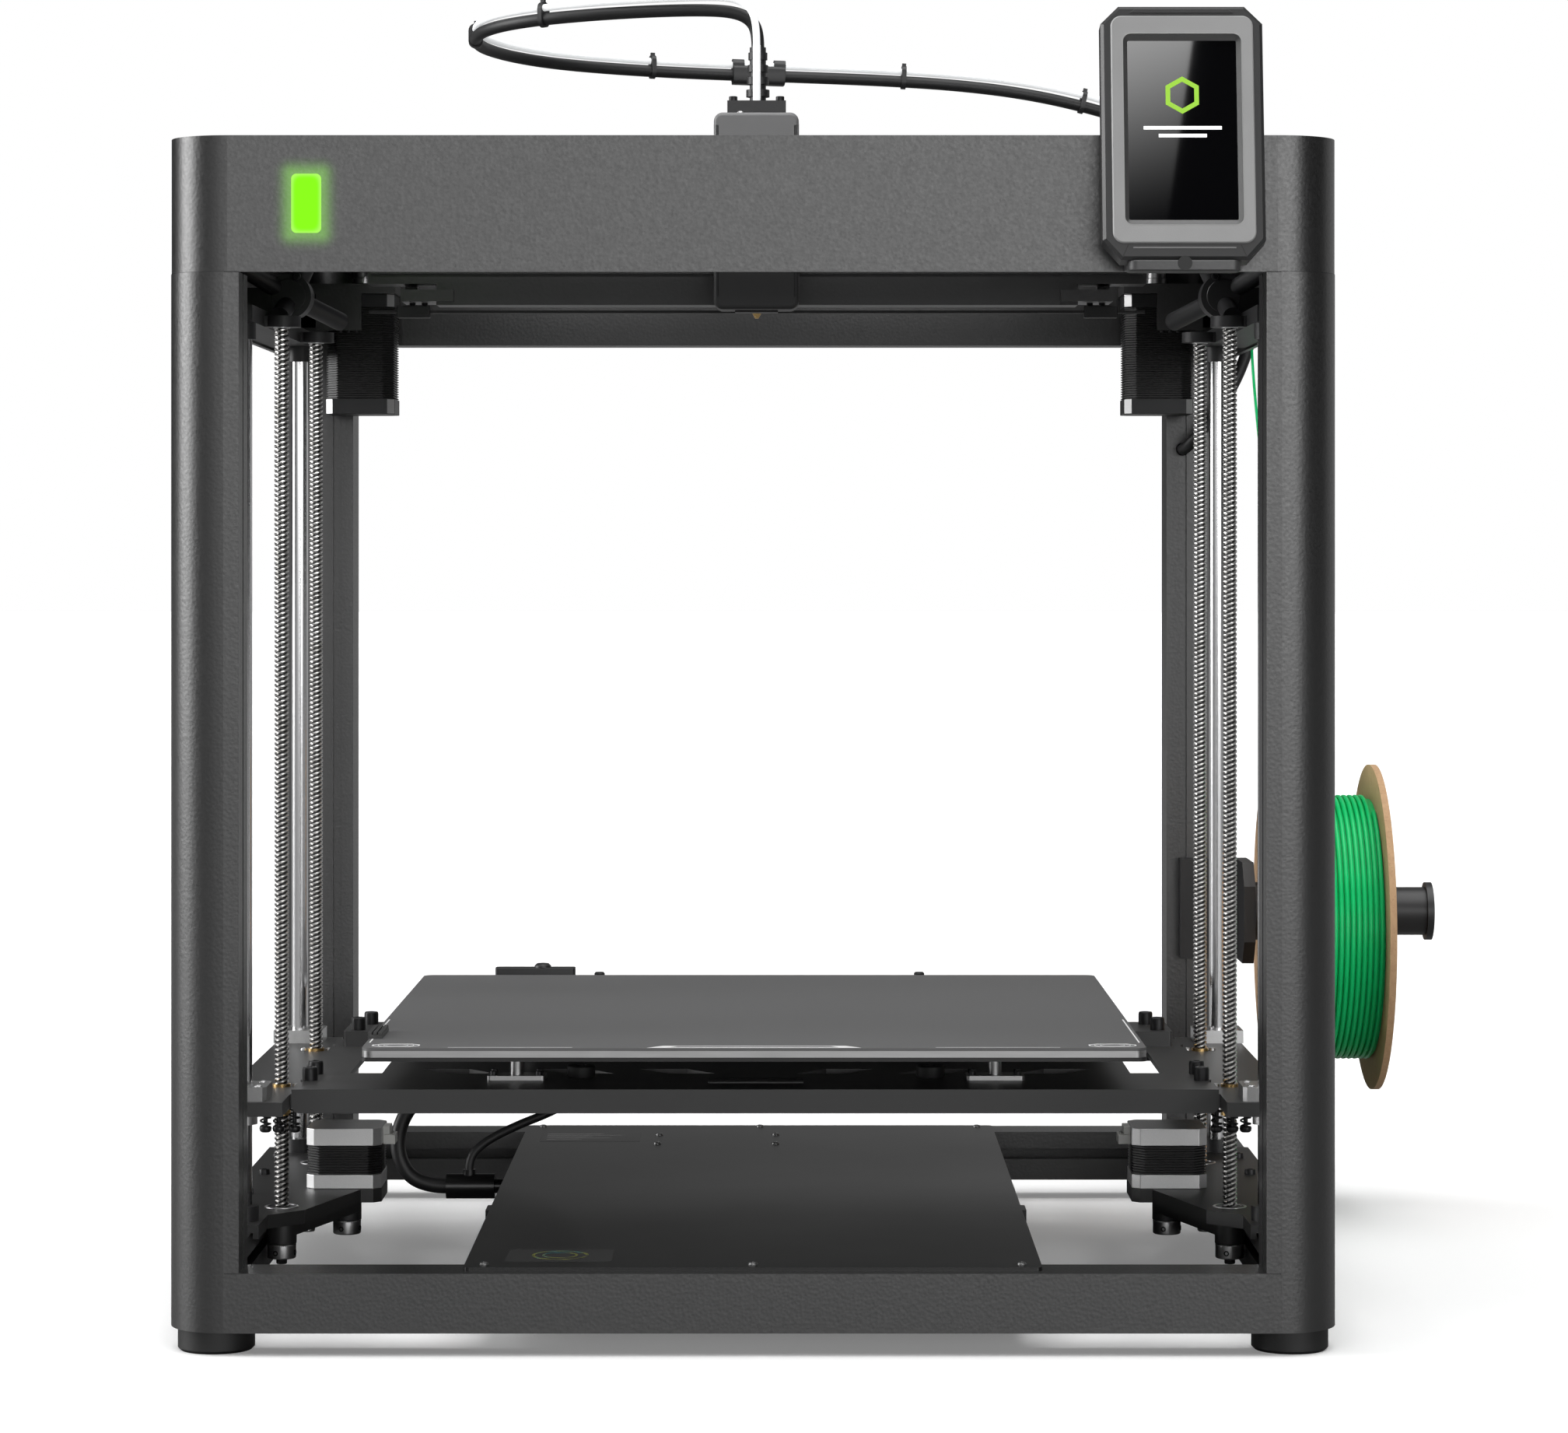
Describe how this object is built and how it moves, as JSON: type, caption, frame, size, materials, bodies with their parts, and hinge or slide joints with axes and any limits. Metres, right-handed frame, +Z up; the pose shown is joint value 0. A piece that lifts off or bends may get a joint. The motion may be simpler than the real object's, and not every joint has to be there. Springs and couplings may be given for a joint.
{
  "type": "fdm printer",
  "caption": "Desktop FDM printer: square gantry frame with open sides, heated bed on four lead screws, belt-driven toolhead, tilted touch screen and a side-mounted filament spool.",
  "frame": {"origin": "on the floor, under the centre of the whole object's box (frame plus spool overhang)", "axes": "+X to the right seen from the front (spool side), +Y to the back, +Z up"},
  "size_m": [0.7088, 0.6362, 0.7205],
  "materials": {
    "frame_paint": "fine leather-textured powder coat",
    "black_paint": "satin black powder coat",
    "black_plastic": "fine moulded grain",
    "grey_plastic": "satin moulded bezel",
    "cover_plastic": "fine moulded grain",
    "rubber": "matte",
    "belt_rubber": "toothed",
    "cable_jacket": "smooth satin jacket",
    "tube_plastic": "milky translucent tube",
    "light_lens": "lit green lens",
    "screen_glass": "black polished glass",
    "ground_steel": "ground and polished",
    "screw_steel": "rolled trapezoidal thread",
    "motor_steel": "laminated stack between cast caps",
    "aluminium": "milled",
    "brass": "turned",
    "build_surface": "fine textured coating",
    "board": "solder mask",
    "rocker_red": "translucent red rocker",
    "card": "pressed kraft board",
    "filament": "extruded green filament"
  },
  "bodies": {
    "root": {"feet": "rubber", "base_corners": "frame_paint", "base_rails": "frame_paint", "corner_posts": "frame_paint", "housing_front": "frame_paint", "housing_sides": "frame_paint", "housing_rear": "frame_paint", "status_light": "light_lens", "screen_shell": "black_plastic", "screen_bezel": "grey_plastic", "screen_glass": "screen_glass", "electronics_case": "black_paint", "electronics_lid": "black_paint", "power_supply": "aluminium", "mainboard": "board", "mains_inlet": "black_plastic", "z_base_plates": "black_paint", "z_top_brackets": "black_plastic", "guide_rods": "ground_steel", "rod_clamps": "black_paint", "z_motors": "motor_steel", "drive_belts": "belt_rubber", "xy_motors": "motor_steel", "motor_brackets": "frame_paint", "y_rails": "ground_steel", "spool_bracket": "black_plastic", "filament_sensor": "black_plastic", "umbilical_front": "cable_jacket", "umbilical_rear": "cable_jacket", "tube_front": "tube_plastic", "tube_rear": "tube_plastic", "bed_cable": "cable_jacket", "sensor_cable": "cable_jacket", "filament_strand": "filament"},
    "bed": {"bed_side_plates": "black_paint", "bed_carrier": "black_paint", "bed_cross_bar": "black_paint", "bed_bearings": "aluminium", "screw_nuts": "brass", "bed_supports": "ground_steel", "heated_plate": "aluminium", "build_sheet": "build_surface"},
    "gantry": {"x_beam": "black_paint", "gantry_blocks": "frame_paint"},
    "toolhead": {"toolhead_cover": "cover_plastic", "toolhead_body": "black_plastic", "hot_end": "brass", "cable_gland": "black_plastic"},
    "fan_rotor": {"part_fan": "black_plastic"},
    "spool": {"spool_body": "card", "filament_winding": "filament"},
    "power_switch": {"power_rocker": "rocker_red"},
    "screw_front_left": {"lead_screw_front_left": "screw_steel"},
    "screw_front_right": {"lead_screw_front_right": "screw_steel"},
    "screw_rear_left": {"lead_screw_rear_left": "screw_steel"},
    "screw_rear_right": {"lead_screw_rear_right": "screw_steel"},
    "z_pulley_left": {"z_motor_pulley_left": "aluminium"},
    "z_pulley_right": {"z_motor_pulley_right": "aluminium"},
    "xy_pulley_left": {"xy_pulley_left": "aluminium"},
    "xy_pulley_right": {"xy_pulley_right": "aluminium"}
  },
  "joints": [
    {"name": "bed_slide", "type": "slide", "parent": "root", "child": "bed", "axis": [0, 0, 1], "range_m": [0, 0.3905]},
    {"name": "gantry_slide", "type": "slide", "parent": "root", "child": "gantry", "axis": [0, 1, 0], "range_m": [-0.192, 0.208]},
    {"name": "toolhead_slide", "type": "slide", "parent": "gantry", "child": "toolhead", "axis": [1, 0, 0], "range_m": [-0.2, 0.2]},
    {"name": "part_fan_spin", "type": "hinge", "parent": "toolhead", "child": "fan_rotor", "pos_m": [-0.05862, -0.0244, 0.612], "axis": [0, 1, 0], "continuous": true},
    {"name": "spool_spin", "type": "hinge", "parent": "root", "child": "spool", "pos_m": [0.28787, 0.2186, 0.1745], "axis": [1, 0, 0], "continuous": true},
    {"name": "power_switch_rock", "type": "hinge", "parent": "root", "child": "power_switch", "pos_m": [-0.19962, -0.2394, 0.028], "axis": [0, 0, 1], "range_deg": [-14, 0]},
    {"name": "screw_front_left_spin", "type": "hinge", "parent": "root", "child": "screw_front_left", "pos_m": [-0.31812, -0.0854, 0.026], "axis": [0, 0, 1], "range_deg": [-30, 17602.5]},
    {"name": "screw_front_right_spin", "type": "hinge", "parent": "root", "child": "screw_front_right", "pos_m": [0.20087, -0.0854, 0.026], "axis": [0, 0, 1], "range_deg": [-30, 17602.5]},
    {"name": "screw_rear_left_spin", "type": "hinge", "parent": "root", "child": "screw_rear_left", "pos_m": [-0.31812, 0.0926, 0.026], "axis": [0, 0, 1], "range_deg": [-30, 17602.5]},
    {"name": "screw_rear_right_spin", "type": "hinge", "parent": "root", "child": "screw_rear_right", "pos_m": [0.20087, 0.0926, 0.026], "axis": [0, 0, 1], "range_deg": [-30, 17602.5]},
    {"name": "z_pulley_left_spin", "type": "hinge", "parent": "root", "child": "z_pulley_left", "pos_m": [-0.29113, 0.0036, 0.026], "axis": [0, 0, 1], "range_deg": [-30, 17602.5]},
    {"name": "z_pulley_right_spin", "type": "hinge", "parent": "root", "child": "z_pulley_right", "pos_m": [0.17388, 0.0036, 0.026], "axis": [0, 0, 1], "range_deg": [-30, 17602.5]},
    {"name": "xy_pulley_left_spin", "type": "hinge", "parent": "root", "child": "xy_pulley_left", "pos_m": [-0.30412, 0.2356, 0.58], "axis": [0, 0, 1], "continuous": true},
    {"name": "xy_pulley_right_spin", "type": "hinge", "parent": "root", "child": "xy_pulley_right", "pos_m": [0.18688, 0.2356, 0.58], "axis": [0, 0, 1], "continuous": true}
  ],
  "couplings": [
    {"joint": "screw_front_left_spin", "follows": "bed_slide", "rad_per_m": 785.4},
    {"joint": "screw_front_right_spin", "follows": "bed_slide", "rad_per_m": 785.4},
    {"joint": "screw_rear_left_spin", "follows": "bed_slide", "rad_per_m": 785.4},
    {"joint": "screw_rear_right_spin", "follows": "bed_slide", "rad_per_m": 785.4},
    {"joint": "z_pulley_left_spin", "follows": "bed_slide", "rad_per_m": 785.4},
    {"joint": "z_pulley_right_spin", "follows": "bed_slide", "rad_per_m": 785.4}
  ]
}
